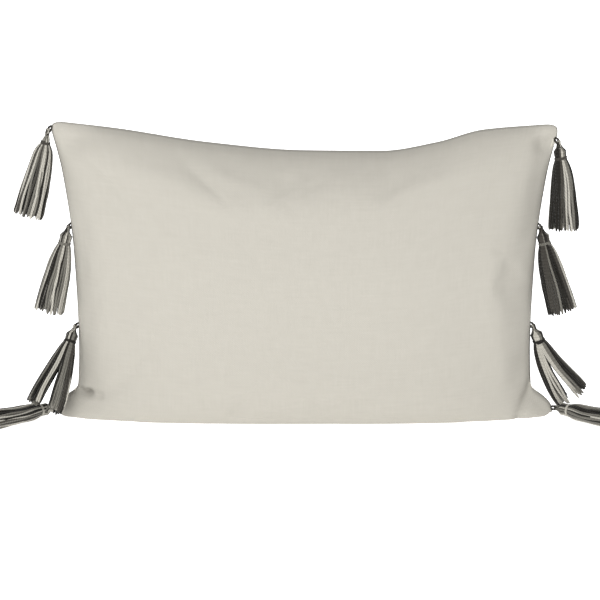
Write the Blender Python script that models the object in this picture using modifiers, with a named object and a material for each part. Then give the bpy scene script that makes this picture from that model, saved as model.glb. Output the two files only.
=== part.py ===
"""A rectangular throw pillow with tassels, standing on its long edge.

The pillow is built in the order in which it comes apart: a cover of two panels sewn together
round the edge, a zip in the bottom seam, an insert of two ticking shells round a fibre fill, and
four tassels on each short side. Each tassel is a hanger loop caught in the seam, a folded hank
of yarn that hangs from the loop, and a tie round its neck.

Metres, +Z up, the plain panel facing -Y. The origin is under the middle, on the floor.
"""

import math

import bmesh
import bpy
from mathutils import Matrix, Vector

# Overall sizes of the stuffed pillow, corner to corner
PILLOW_WIDTH = 0.500
PILLOW_HEIGHT = 0.298
PILLOW_THICKNESS = 0.132
SIDE_DRAW_IN = 0.025  # how far the filling pulls in the middle of each short side
TOP_SAG = 0.030  # how far it pulls down the middle of the top edge

# Cloth and seams
PANEL_CLOTH = 0.0006
TICKING_CLOTH = 0.0005
SEAM_HALF_GAP = 0.0012  # from the middle plane to each panel, where they are sewn
SEAM_ALLOWANCE = 0.006  # the strip of each panel that is folded inside
SEAM_THREAD_RADIUS = 0.0003
SEAM_THREAD_INSIDE = 0.0028  # how far inside the fold the stitching runs
BOTTOM_SEAM_HEIGHT = 0.009  # the bottom seam is drawn up between the two rolls that it stands on
BOTTOM_ROLL = 0.028  # how far those rolls would hang down if the floor weren't there
FIT_GAP = 0.0004  # between pieces that touch

# Insert
INSERT_INSET = 0.013  # the insert stops this far short of the cover's seam
INSERT_SLACK = 0.0012  # between the cover and the insert, through the thickness
INSERT_LIFT = 0.0018  # between one layer and the next where they are pressed flat on the floor
INSERT_SEAM = 0.004  # the fill stops this far short of the insert's seam

# Zip in the bottom seam
ZIP_LENGTH = 0.400
ZIP_HALF_GAP = 0.0036  # from the middle plane to each panel, along the zip
COIL_WIDTH = 0.0018
COIL_HEIGHT = 0.0022
COIL_HALF_GAP = 0.00055
TAPE_WIDTH = INSERT_INSET - 0.002  # each tape ends just short of the insert's edge
TAPE_THICKNESS = 0.0004
STOP_LENGTH = 0.003
SLIDER_LENGTH = 0.009
SLIDER_WIDTH = 0.0060
SLIDER_PLATE = 0.0011
SLIDER_POST = 0.0004
SLIDER_FROM_END = 0.010  # from the zip's closed end to the middle of the slider
BAIL_LENGTH = 0.006
BAIL_WIDTH = 0.0012
BAIL_THICKNESS = 0.0008
BAIL_OPENING = 0.0018
PULL_LENGTH = 0.016
PULL_WIDTH = 0.0044
PULL_THICKNESS = 0.0008

# Tassels
TASSEL_LENGTH = 0.092  # from the seam to the cut ends
TASSEL_END_RADIUS = 0.0145
TASSEL_NECK_RADIUS = 0.0042
TASSEL_HEAD_RADIUS = 0.0050
NECK_AT = 0.019  # from the seam to the tie, along the tassel
HANGER_RING_RADIUS = 0.0030
HANGER_THREAD_RADIUS = 0.0004
HANGER_IN_SEAM = 0.0007  # how far inside the fold the hanger's inner strand lies
EYE_RING_RADIUS = 0.0026
EYE_YARN_RADIUS = 0.0011
TIE_YARN_RADIUS = 0.0008
FLOOR_GAP = 0.0003

# Number of faces across and up each panel: along the zip, from there to each corner, and up
ZIP_COLUMNS, END_COLUMNS, PANEL_ROWS = 14, 4, 14

# The top edge: (share of the half width, share of TOP_SAG)
TOP_EDGE = ((-1, 0), (-0.74, 0.25), (-0.38, 0.71), (0, 0.98), (0.3, 1.0), (0.52, 0.71), (0.7, 0.3), (1, 0.1))
# A short side: (share of the height, share of SIDE_DRAW_IN). The corner on the floor flares out.
SIDE_EDGE = ((0, 0), (0.04, 0.45), (0.09, 0.93), (0.25, 1.0), (0.55, 0.88), (0.82, 0.5), (1, 0))

LEFT, RIGHT = -1, 1
BACK, FRONT = -1, 1  # the plain panel is the back, at -Y

# Each tassel: side, share of the height where it is sewn, the hanger's angle from straight down,
# the yarn's angle at its head and at its tip, and how far it turns out of the pillow's plane, in degrees
TASSELS = {
    "left_1": (LEFT, 0.975, 36, 12, 17, 0),
    "left_2": (LEFT, 0.645, 38, 14, 14, 0),
    "left_3": (LEFT, 0.300, 46, 38, 46, 50),
    "left_4": (LEFT, 0.006, 88, 90, 92, 36),
    "right_1": (RIGHT, 0.945, 34, 9, 0, 0),
    "right_2": (RIGHT, 0.650, 36, 14, 17, 0),
    "right_3": (RIGHT, 0.305, 42, 24, 48, -20),
    "right_4": (RIGHT, 0.006, 88, 90, 92, 37),
}


# ---------------------------------------------------------------- scene helpers


def clear_scene():
    for found in list(bpy.data.objects):
        bpy.data.objects.remove(found)


def new_collection(name):
    made = bpy.data.collections.new(name)
    bpy.context.scene.collection.children.link(made)
    return made


def new_material(name, colour, roughness, metallic=0.0):
    made = bpy.data.materials.new(name)
    made.use_nodes = True
    shader = made.node_tree.nodes["Principled BSDF"]
    shader.inputs["Base Color"].default_value = (*colour, 1.0)
    shader.inputs["Roughness"].default_value = roughness
    shader.inputs["Metallic"].default_value = metallic
    return made


def new_object(name, data, material):
    """An object in the pillow's collection, shaded smooth apart from its sharp edges."""
    made = bpy.data.objects.new(name, data)
    bpy.data.collections["throw_pillow"].objects.link(made)
    made.data.materials.append(material)
    if made.type == "MESH":
        made.data.shade_smooth()
        made.data.set_sharp_from_angle(angle=math.radians(40))
    return made


def mesh_of(bm, name):
    mesh = bpy.data.meshes.new(name)
    bm.to_mesh(mesh)
    bm.free()
    return mesh


def add_solidify(obj, thickness):
    """Gives an open surface its wall, on the side away from its normals."""
    wall = obj.modifiers.new("cloth", "SOLIDIFY")
    wall.thickness = thickness
    wall.offset = -1
    return wall


def join_to(obj, *others):
    """Unites other meshes with obj, and removes them."""
    for other in others:
        union = obj.modifiers.new("join", "BOOLEAN")
        union.operation = "UNION"
        union.object = other
        bpy.context.view_layer.update()
        graph = bpy.context.evaluated_depsgraph_get()
        united = bpy.data.meshes.new_from_object(obj.evaluated_get(graph))
        obj.modifiers.remove(union)
        obj.data = united
        bpy.data.objects.remove(other)


# ---------------------------------------------------------------- the pillow's form


def smooth_through(points, at):
    """The value at a position, on a smooth curve through (position, value) points that never overshoots."""
    steps = [b[0] - a[0] for a, b in zip(points, points[1:])]
    rises = [(b[1] - a[1]) / step for a, b, step in zip(points, points[1:], steps)]
    slopes = [rises[0]]
    for before, after in zip(rises, rises[1:]):
        slopes.append(2 * before * after / (before + after) if before * after > 0 else 0.0)
    slopes.append(rises[-1])
    at = min(max(at, points[0][0]), points[-1][0])
    i = max(k for k in range(len(steps)) if points[k][0] <= at)
    t = (at - points[i][0]) / steps[i]
    start, end = points[i][1], points[i + 1][1]
    return (
        start * (1 + 2 * t) * (1 - t) ** 2
        + slopes[i] * steps[i] * t * (1 - t) ** 2
        + end * t * t * (3 - 2 * t)
        + slopes[i + 1] * steps[i] * t * t * (t - 1)
    )


def side_x(side, height):
    """X of a short side's seam at this share of the height."""
    return side * (PILLOW_WIDTH / 2 - SIDE_DRAW_IN * smooth_through(SIDE_EDGE, height))


def top_z(across):
    """Z of the top seam, with across from -1 at the left corner to 1 at the right one."""
    return PILLOW_HEIGHT - TOP_SAG * smooth_through(TOP_EDGE, across)


def bottom_z(across):
    """Z of the bottom seam. It is straight along the zip and comes down a little towards the corners."""
    half = PILLOW_WIDTH / 2
    beyond = max(0.0, (abs(across) * half - zip_end()) / (half - zip_end()))
    return BOTTOM_SEAM_HEIGHT * (1 - 0.3 * beyond ** 2)


def seam_plane_point(u, height, flare_below=0.0):
    """(x, z) in the middle plane, filled in smoothly between the four edges. u and height go from 0 to 1."""
    across = 2 * u - 1
    side_height = max(height, flare_below)
    low_left, low_right = bottom_z(-1), bottom_z(1)
    high_left, high_right = top_z(-1), top_z(1)
    left_z = low_left + (high_left - low_left) * height
    right_z = low_right + (high_right - low_right) * height
    x = (1 - u) * side_x(LEFT, side_height) + u * side_x(RIGHT, side_height)
    z = (1 - height) * bottom_z(across) + height * top_z(across) + (1 - u) * left_z + u * right_z
    z -= (1 - height) * ((1 - u) * low_left + u * low_right) + height * ((1 - u) * high_left + u * high_right)
    return x, z


def fullness_across(across):
    return max(0.0, 1 - abs(across) ** 3) ** 0.6


def fullness_up(angle):
    """Full and round towards the floor, flatter towards the top seam."""
    return math.sin(angle) ** (0.75 if angle < math.pi / 2 else 1.05)


def roll_down(angle):
    """How much of BOTTOM_ROLL a row hangs down by: none at the bottom seam, all of it just above."""
    rise = min(1.0, angle / math.radians(12))
    fade = max(0.0, math.cos(min(angle, math.pi / 2)))
    return rise * fade


def zip_end():
    """From the middle of the zip to the end of the opening that it fills, just past its stop."""
    return ZIP_LENGTH / 2 + STOP_LENGTH + 2 * FIT_GAP


def columns():
    """Where the columns of faces stand, from 0 at the left corner to 1: even along the zip, closer at each end."""
    half = PILLOW_WIDTH / 2
    ends = [1 - math.cos(math.pi / 2 * i / END_COLUMNS) for i in range(END_COLUMNS)]
    left = [(half - zip_end()) * share for share in ends]
    along = [half - zip_end() + 2 * zip_end() * i / ZIP_COLUMNS for i in range(ZIP_COLUMNS + 1)]
    right = [PILLOW_WIDTH - x for x in reversed(left)]
    return [x / PILLOW_WIDTH for x in left + along + right]


def rows():
    """Angles up a panel, from 0 at the bottom seam to pi at the top one."""
    return [math.pi * i / PANEL_ROWS for i in range(PANEL_ROWS + 1)]


def height_at(angle):
    return (1 - math.cos(angle)) / 2


def layer_seam_point(u, height, layer):
    """(x, z) in the middle plane, drawn in from the cover's edge as far as this layer is."""
    x, z = seam_plane_point(u, height, layer["square_below"])
    middle = PILLOW_HEIGHT / 2
    return x * (1 - layer["inset"] / (PILLOW_WIDTH / 2)), middle + (z - middle) * (1 - layer["inset"] / middle)


def seam_half_gap(x, angle, layer):
    """From the middle plane to the panel at its edge. The gap is wider along the zip."""
    beside_zip = angle == 0 and abs(x) < zip_end() + FIT_GAP
    return ZIP_HALF_GAP if layer["zip"] and beside_zip else layer["half_gap"]


def layer_point(u, angle, layer):
    """A point of one layer's outer surface on the back half."""
    across = 2 * u - 1
    x, z = layer_seam_point(u, height_at(angle), layer)
    gap = seam_half_gap(x, angle, layer)
    full = fullness_across(across) * max(0.0, fullness_up(angle))
    y = -(gap + (PILLOW_THICKNESS / 2 - layer["depth"] - gap) * full)
    z -= BOTTOM_ROLL * fullness_across(across) * roll_down(angle)
    return Vector((x, y, max(z, layer["floor"])))


def face_backwards(bm):
    """Turns all the faces of a back half to one side, outwards."""
    bmesh.ops.recalc_face_normals(bm, faces=bm.faces)
    if sum(face.normal.y * face.calc_area() for face in bm.faces) > 0:
        bmesh.ops.reverse_faces(bm, faces=bm.faces)


def layer_surface(layer):
    """A bmesh grid of the layer's back half, with its normals outwards."""
    across, up = columns(), rows()
    bm = bmesh.new()
    bmesh.ops.create_grid(bm, x_segments=len(across) - 1, y_segments=len(up) - 1, size=0.5)
    for vert in bm.verts:
        i = round((vert.co.x + 0.5) * (len(across) - 1))
        j = round((vert.co.y + 0.5) * (len(up) - 1))
        vert.co = layer_point(across[i], up[j], layer)
    for corner in [vert for vert in bm.verts if len(vert.link_edges) == 2]:
        face = corner.link_faces[0]
        opposite = [vert for vert in face.verts if len(vert.link_edges) == 4][0]
        bmesh.utils.face_split(face, corner, opposite)
    face_backwards(bm)
    return bm


def seam_line(layer):
    """The layer's edge as (x, z) points: from the zip's end to the corner, up the right, over the top and back."""
    beyond = [u for u in columns() if u * PILLOW_WIDTH > PILLOW_WIDTH / 2 + zip_end() - FIT_GAP]
    heights = [height_at(angle) for angle in rows()]
    round_it = [(u, 0) for u in beyond] + [(1, height) for height in heights[1:]]
    round_it += [(u, 1) for u in reversed(columns()[:-1])] + [(0, height) for height in reversed(heights[:-1])]
    round_it += [(1 - u, 0) for u in reversed(beyond[:-1])]
    return [layer_seam_point(u, height, layer) for u, height in round_it]


def moved_in(line, distance):
    """The same line, this far to the left of the way it runs."""
    moved = []
    for i, (x, z) in enumerate(line):
        before, after = line[max(i - 1, 0)], line[min(i + 1, len(line) - 1)]
        sides = []
        for a, b in ((before, (x, z)), ((x, z), after)):
            if a != b:
                run = Vector((b[0] - a[0], b[1] - a[1])).normalized()
                sides.append(Vector((-run.y, run.x)))
        left = (sides[0] + sides[-1]).normalized()
        moved.append(Vector((x, z)) + left * (distance / left.dot(sides[0])))
    return moved


def clear_of_corners(line, layer):
    """Which points of a seam line are past the trimmed corners, where there is no allowance to sew."""
    corners = [layer_seam_point(u, height, layer) for u in (0, 1) for height in (0, 1)]
    return [all(math.dist(point, corner) > layer["trim"] for corner in corners) for point in line]


def fold_allowance(bm):
    """Folds a strip of cloth inwards along the sewn edges: all the way round apart from the zip and corners."""
    line = seam_line(COVER)
    inside = {}
    for (x, z), moved, clear in zip(line, moved_in(line, SEAM_ALLOWANCE), clear_of_corners(line, COVER)):
        if clear:
            inside[(round(x, 6), round(z, 6))] = moved

    def on_line(vert):
        return (round(vert.co.x, 6), round(vert.co.z, 6)) in inside

    sewn = []
    for edge in (found for found in bm.edges if found.is_boundary):
        over_zip = max(abs(vert.co.x) for vert in edge.verts) < zip_end() + FIT_GAP
        low = max(vert.co.z for vert in edge.verts) < 2 * BOTTOM_SEAM_HEIGHT
        if all(on_line(vert) for vert in edge.verts) and not (low and over_zip):
            sewn.append(edge)
    strip = bmesh.ops.extrude_edge_only(bm, edges=sewn)["geom"]
    for vert in (found for found in strip if isinstance(found, bmesh.types.BMVert)):
        vert.co.x, vert.co.z = inside[(round(vert.co.x, 6), round(vert.co.z, 6))]
    face_backwards(bm)


# How each layer differs from the cover. The insert's bottom corners don't reach into the cover's, so
# its sides don't flare out there.
COVER = {
    "inset": 0.0,
    "square_below": 0.0,
    "trim": 2 * SEAM_ALLOWANCE,
    "depth": 0.0,
    "floor": 0.0,
    "half_gap": SEAM_HALF_GAP,
    "zip": True,
}
TICKING = {
    "inset": INSERT_INSET,
    "square_below": SIDE_EDGE[2][0],
    "trim": 0.0,
    "depth": PANEL_CLOTH + INSERT_SLACK,
    "floor": PANEL_CLOTH + INSERT_LIFT,
    "half_gap": 2 * FIT_GAP,
    "zip": False,
}
FILL = {
    "inset": INSERT_INSET + INSERT_SEAM,
    "square_below": SIDE_EDGE[2][0],
    "trim": 0.0,
    "depth": TICKING["depth"] + TICKING_CLOTH + FIT_GAP,
    "floor": TICKING["floor"] + TICKING_CLOTH + INSERT_LIFT,
    "half_gap": 0.0,
    "zip": False,
}


def mirrored_to_front(bm):
    bmesh.ops.scale(bm, vec=Vector((1, -1, 1)), verts=bm.verts)
    bmesh.ops.reverse_faces(bm, faces=bm.faces)


def build_cover_panel(name, half, material):
    bm = layer_surface(COVER)
    fold_allowance(bm)
    if half == FRONT:
        mirrored_to_front(bm)
    add_solidify(new_object(name, mesh_of(bm, name), material), PANEL_CLOTH)


def build_insert_shell(name, half, material):
    bm = layer_surface(TICKING)
    if half == FRONT:
        mirrored_to_front(bm)
    add_solidify(new_object(name, mesh_of(bm, name), material), TICKING_CLOTH)


def build_fill(material):
    bm = layer_surface(FILL)
    fill = new_object("insert_fill", mesh_of(bm, "insert_fill"), material)
    mirror = fill.modifiers.new("front half", "MIRROR")
    mirror.use_axis = (False, True, False)
    mirror.merge_threshold = 0.0001


def build_stitching(name, layer, inside, material):
    """A line of stitching that joins two halves, a little inside their edge. It stops short of the zip."""
    line = seam_line(layer)
    kept = clear_of_corners(line, layer)
    line = [moved for moved, clear in zip(moved_in(line, inside), kept) if clear][1:-1]
    curve = bpy.data.curves.new(name, "CURVE")
    curve.dimensions = "3D"
    curve.bevel_depth = SEAM_THREAD_RADIUS
    curve.bevel_resolution = 1
    curve.use_fill_caps = True
    spline = curve.splines.new("POLY")
    spline.points.add(len(line) - 1)
    for point, (x, z) in zip(spline.points, line):
        point.co = (x, 0, z, 1)
    new_object(name, curve, material)


# ---------------------------------------------------------------- the zip


def box_mesh(name, low, high, bevel=0.0):
    """A box between two corners, with its edges rounded."""
    bm = bmesh.new()
    bmesh.ops.create_cube(bm, size=1)
    size = Vector(high) - Vector(low)
    bmesh.ops.scale(bm, vec=size, verts=bm.verts)
    bmesh.ops.translate(bm, vec=(Vector(high) + Vector(low)) / 2, verts=bm.verts)
    if bevel:
        bmesh.ops.bevel(bm, geom=bm.edges[:], offset=bevel, segments=2, profile=0.5, affect="EDGES")
    return mesh_of(bm, name)


def zip_slope():
    """The groove's wall beside the zip, as (start, direction, inward normal) in (y, z), on the +Y side."""
    start = Vector((ZIP_HALF_GAP, BOTTOM_SEAM_HEIGHT))
    first_row = layer_point(0.5, math.pi / PANEL_ROWS, COVER)
    along = (Vector((-first_row.y, first_row.z)) - start).normalized()
    return start, along, Vector((-along.y, along.x))


def build_zip_tape(name, half, material):
    """A strip of tape that lies against the inside of the panel, from the coil outwards."""
    start, along, inward = zip_slope()
    low = PANEL_CLOTH + FIT_GAP
    inner = start + inward * low
    inner += along * ((COIL_HALF_GAP + COIL_WIDTH + FIT_GAP - inner.x) / along.x)
    corners = [inner, inner + along * TAPE_WIDTH]
    corners += [corner + inward * TAPE_THICKNESS for corner in reversed(corners)]
    bm = bmesh.new()
    end = bm.faces.new([bm.verts.new((-ZIP_LENGTH / 2, half * c.x, c.y)) for c in corners])
    made = bmesh.ops.extrude_face_region(bm, geom=[end])["geom"]
    moved = [found for found in made if isinstance(found, bmesh.types.BMVert)]
    bmesh.ops.translate(bm, vec=(ZIP_LENGTH, 0, 0), verts=moved)
    bmesh.ops.recalc_face_normals(bm, faces=bm.faces)
    new_object(name, mesh_of(bm, name), material)


def coil_base():
    """Z of the coil's underside: level with the tape that it is woven into."""
    start, along, inward = zip_slope()
    low = start + inward * (PANEL_CLOTH + FIT_GAP)
    low += along * ((COIL_HALF_GAP + COIL_WIDTH - low.x) / along.x)
    return low.y + TAPE_THICKNESS / 2 - COIL_HEIGHT / 2


def build_zip_coil(name, half, material):
    near, far = COIL_HALF_GAP, COIL_HALF_GAP + COIL_WIDTH
    low = (-ZIP_LENGTH / 2, min(half * near, half * far), coil_base())
    high = (ZIP_LENGTH / 2, max(half * near, half * far), coil_base() + COIL_HEIGHT)
    new_object(name, box_mesh(name, low, high, COIL_WIDTH / 4), material)


def build_zip_stop(name, side, material):
    """A clamp across both coils, just past their ends."""
    near = ZIP_LENGTH / 2 + FIT_GAP
    ends = sorted((side * near, side * (near + STOP_LENGTH - FIT_GAP)))
    half_width = COIL_HALF_GAP + COIL_WIDTH
    low = (ends[0], -half_width, coil_base())
    high = (ends[1], half_width, coil_base() + COIL_HEIGHT)
    new_object(name, box_mesh(name, low, high, COIL_HEIGHT / 6), material)


def slider_place():
    """X of the slider's middle when the zip is closed, and Z of its lower plate's underside."""
    return ZIP_LENGTH / 2 - SLIDER_FROM_END, coil_base() - 2 * FIT_GAP - SLIDER_PLATE


def pull_pivot():
    x, plate_z = slider_place()
    return Vector((x, 0, plate_z - BAIL_OPENING / 2))


def build_slider(material):
    """Two plates with the coils between them, joined by a thin post, and a bail below for the pull."""
    x, low = slider_place()
    half_length, half_width = SLIDER_LENGTH / 2, SLIDER_WIDTH / 2
    over = coil_base() + COIL_HEIGHT + 2 * FIT_GAP
    rounding = SLIDER_PLATE / 4
    plate = ((x - half_length, -half_width, low), (x + half_length, half_width, low + SLIDER_PLATE))
    slider = new_object("zip_slider", box_mesh("zip_slider", *plate, rounding), material)
    top = ((x - half_length, -half_width, over), (x + half_length, half_width, over + SLIDER_PLATE))
    bite = SLIDER_PLATE / 3
    post_ends = (low + SLIDER_PLATE - bite, over + bite)
    post = ((x, -SLIDER_POST / 2, post_ends[0]), (x + half_length / 2, SLIDER_POST / 2, post_ends[1]))
    bail_low = low - BAIL_OPENING - BAIL_THICKNESS
    half_bail, half_bail_width = BAIL_LENGTH / 2, BAIL_WIDTH / 2
    pieces = [box_mesh("top", *top, rounding), box_mesh("post", *post)]
    bar_high = (x + half_bail, half_bail_width, bail_low + BAIL_THICKNESS)
    pieces.append(box_mesh("bar", (x - half_bail, -half_bail_width, bail_low), bar_high))
    for end in (-1, 1):
        foot = x + end * (half_bail - BAIL_THICKNESS / 2)
        leg_low = (foot - BAIL_THICKNESS / 2, -half_bail_width * 0.9, bail_low + bite)
        leg_high = (foot + BAIL_THICKNESS / 2 * 0.9, half_bail_width * 0.9, low + bite)
        pieces.append(box_mesh("leg", leg_low, leg_high))
    join_to(slider, *[new_object("piece", mesh, material) for mesh in pieces])


def build_pull(material):
    """A flat tab that points along the closed coils. Its end bar runs through the bail, and it turns about that bar."""
    pivot = pull_pivot()
    half_width, half_thick = PULL_WIDTH / 2, PULL_THICKNESS / 2
    near = pivot.x + half_thick
    tab_low = (pivot.x - PULL_LENGTH, -half_width, pivot.z - half_thick)
    pull = new_object("zip_pull", box_mesh("zip_pull", tab_low, (near, half_width, pivot.z + half_thick)), material)
    window_half = BAIL_WIDTH / 2 + 2 * FIT_GAP
    window = box_mesh(
        "window",
        (pivot.x - BAIL_LENGTH / 2 - BAIL_THICKNESS - FIT_GAP, -window_half, pivot.z - PULL_WIDTH),
        (pivot.x - half_thick, window_half, pivot.z + PULL_WIDTH),
    )
    cutter = bpy.data.objects.new("pull_window_cutter", window)
    bpy.data.collections["cutters"].objects.link(cutter)
    cutter.hide_render = True
    cutter.display_type = "WIRE"
    cut = pull.modifiers.new("window", "BOOLEAN")
    cut.operation = "DIFFERENCE"
    cut.object = cutter


# ---------------------------------------------------------------- the tassels


def tassel_radius(along):
    """The hank's radius at this distance from the seam: a head, a tied neck, and a skirt that spreads."""
    skirt = TASSEL_LENGTH - NECK_AT
    return smooth_through(
        (
            (0.0, EYE_YARN_RADIUS * 1.6),
            (NECK_AT * 0.42, TASSEL_HEAD_RADIUS * 0.9),
            (NECK_AT * 0.70, TASSEL_HEAD_RADIUS),
            (NECK_AT, TASSEL_NECK_RADIUS),
            (NECK_AT + skirt * 0.09, TASSEL_NECK_RADIUS * 1.75),
            (NECK_AT + skirt * 0.40, TASSEL_END_RADIUS * 0.75),
            (TASSEL_LENGTH, TASSEL_END_RADIUS),
        ),
        along,
    )


def tassel_frame(name):
    """Where and how a tassel is sewn on: its seam point, the hanger's and yarn's directions, and both hinge axes."""
    side, height, hanger_angle, head_angle, tip_angle, turn = TASSELS[name]
    low, high = bottom_z(side), top_z(side)
    seam = Vector((side_x(side, height), 0, low + (high - low) * height))
    turn = math.radians(turn)
    heading = Vector((side * math.cos(turn), -math.sin(turn), 0))
    sewn_heading = Vector((side, 0, 0))

    def leaning(angle, towards):
        angle = math.radians(angle)
        return towards * math.sin(angle) + Vector((0, 0, -math.cos(angle)))

    hanger = leaning(hanger_angle, sewn_heading)
    pivot = seam + hanger * (2 * HANGER_RING_RADIUS - HANGER_IN_SEAM)
    swing_axis = sewn_heading.cross(Vector((0, 0, 1)))
    head = leaning(head_angle, heading)
    sway_axis = head.cross(swing_axis).normalized()
    return {
        "seam": seam,
        "hanger": hanger,
        "pivot": pivot,
        "swing_axis": swing_axis,
        "sway_axis": sway_axis,
        "head": head,
        "leaning": lambda share: leaning(head_angle + (tip_angle - head_angle) * share, heading),
    }


def tassel_route(frame):
    """Points down the middle of the yarn, as (point, radius). What reaches the floor lies on it."""
    start = 2 * HANGER_RING_RADIUS - HANGER_IN_SEAM
    skirt = TASSEL_LENGTH - NECK_AT
    stations = [start, NECK_AT * 0.42, NECK_AT * 0.70, NECK_AT * 0.88, NECK_AT]
    stations += [NECK_AT + skirt * share for share in (0.09, 0.22, 0.40, 0.60, 0.80, 1.0)]
    steps = 8
    point = frame["pivot"].copy()
    route = []
    for before, station in zip([start, *stations], stations):
        for i in range(steps):
            along = before + (station - before) * (i + 1) / steps
            point += frame["leaning"]((along - start) / (TASSEL_LENGTH - start)) * ((station - before) / steps)
            point.z = max(point.z, tassel_radius(along) + FLOOR_GAP)
        route.append((point.copy(), tassel_radius(station)))
    return route


def ring_mesh(name, ring_radius, thread_radius, centre, normal, around=14, across=6):
    """A torus made by spinning a small circle."""
    bm = bmesh.new()
    circle = bmesh.ops.create_circle(bm, segments=across, radius=thread_radius)["verts"]
    bmesh.ops.rotate(bm, verts=circle, matrix=Matrix.Rotation(math.pi / 2, 3, "X"))
    bmesh.ops.translate(bm, verts=circle, vec=(ring_radius, 0, 0))
    bmesh.ops.spin(
        bm, geom=bm.verts[:] + bm.edges[:], cent=(0, 0, 0), axis=(0, 0, 1), angle=2 * math.pi, steps=around
    )
    bmesh.ops.remove_doubles(bm, verts=bm.verts, dist=1e-6)
    bmesh.ops.recalc_face_normals(bm, faces=bm.faces)
    turn = Vector((0, 0, 1)).rotation_difference(normal).to_matrix()
    bmesh.ops.rotate(bm, verts=bm.verts, matrix=turn)
    bmesh.ops.translate(bm, verts=bm.verts, vec=centre)
    return mesh_of(bm, name)


def build_hanger(name, frame, material):
    """The loop of cord caught in the seam. Its outer strand carries the yarn."""
    centre = frame["pivot"] - frame["hanger"] * HANGER_RING_RADIUS
    node = f"tassel_{name}_hanger"
    mesh = ring_mesh(node, HANGER_RING_RADIUS, HANGER_THREAD_RADIUS, centre, frame["swing_axis"])
    new_object(node, mesh, material)


def build_yarn(name, frame, material):
    """The folded hank: a tube that follows the yarn, with an eye at the top where it folds over the hanger."""
    node = f"tassel_{name}_yarn"
    route = tassel_route(frame)
    first = frame["pivot"] + (route[1][0] - frame["pivot"]).normalized() * EYE_RING_RADIUS * 0.9
    curve = bpy.data.curves.new(node, "CURVE")
    curve.dimensions = "3D"
    curve.bevel_depth = 1.0
    curve.bevel_resolution = 2
    curve.use_fill_caps = True
    spline = curve.splines.new("POLY")
    spline.points.add(len(route) - 1)
    for point, (place, radius) in zip(spline.points, [(first, EYE_YARN_RADIUS * 1.6), *route[1:]]):
        point.co = (*place, 1)
        point.radius = radius
    guide = new_object("yarn_guide", curve, material)
    bpy.context.view_layer.update()
    graph = bpy.context.evaluated_depsgraph_get()
    mesh = bpy.data.meshes.new_from_object(guide.evaluated_get(graph))
    bpy.data.objects.remove(guide)
    bm = bmesh.new()
    bm.from_mesh(mesh)
    bmesh.ops.remove_doubles(bm, verts=bm.verts, dist=1e-6)
    yarn = new_object(node, mesh_of(bm, node), material)
    eye = ring_mesh("eye", EYE_RING_RADIUS, EYE_YARN_RADIUS, frame["pivot"], frame["sway_axis"])
    join_to(yarn, new_object("eye", eye, material))


def build_tie(name, frame, material):
    """The yarn wound round the neck, which is the route's fifth point."""
    (above, _), (neck, radius), (below, _) = tassel_route(frame)[3:6]
    ring = radius + FIT_GAP + TIE_YARN_RADIUS
    node = f"tassel_{name}_tie"
    new_object(node, ring_mesh(node, ring, TIE_YARN_RADIUS, neck, (below - above).normalized()), material)


# ---------------------------------------------------------------- build


def main():
    clear_scene()
    new_collection("throw_pillow")
    new_collection("cutters")
    cream = new_material("cream cotton", (0.66, 0.62, 0.53), 0.9)
    woven = new_material("black and cream weave", (0.30, 0.28, 0.24), 0.9)
    thread = new_material("cream thread", (0.62, 0.58, 0.48), 0.7)
    ticking = new_material("white ticking", (0.80, 0.80, 0.78), 0.9)
    fibre = new_material("polyester fibre", (0.88, 0.88, 0.86), 1.0)
    nylon = new_material("zip nylon", (0.70, 0.66, 0.57), 0.5)
    metal = new_material("zip metal", (0.55, 0.55, 0.55), 0.35, 1.0)
    yarn = new_material("black and grey yarn", (0.06, 0.055, 0.05), 0.85)

    build_cover_panel("cover_back_panel", BACK, cream)
    build_cover_panel("cover_front_panel", FRONT, woven)
    build_stitching("cover_seam_thread", COVER, SEAM_THREAD_INSIDE, thread)
    build_insert_shell("insert_shell_back", BACK, ticking)
    build_insert_shell("insert_shell_front", FRONT, ticking)
    build_stitching("insert_seam_thread", TICKING, SEAM_THREAD_INSIDE / 2, thread)
    build_fill(fibre)
    build_zip_tape("zip_tape_back", BACK, nylon)
    build_zip_tape("zip_tape_front", FRONT, nylon)
    build_zip_coil("zip_coil_back", BACK, nylon)
    build_zip_coil("zip_coil_front", FRONT, nylon)
    build_zip_stop("zip_stop_left", LEFT, metal)
    build_zip_stop("zip_stop_right", RIGHT, metal)
    build_slider(metal)
    build_pull(metal)
    for name in TASSELS:
        frame = tassel_frame(name)
        build_hanger(name, frame, thread)
        build_yarn(name, frame, yarn)
        build_tie(name, frame, yarn)


main()
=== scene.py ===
# %% [markdown]
# # A throw pillow with tassels
# This lesson dresses a rectangular throw pillow, cell by cell. The engineering model comes first and
# is a fixed frame: it says where each piece is and how it moves. Every piece that is made here takes
# the place of one of its solids, or is a better finish for it.

# %% Load the frame
import math

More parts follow.
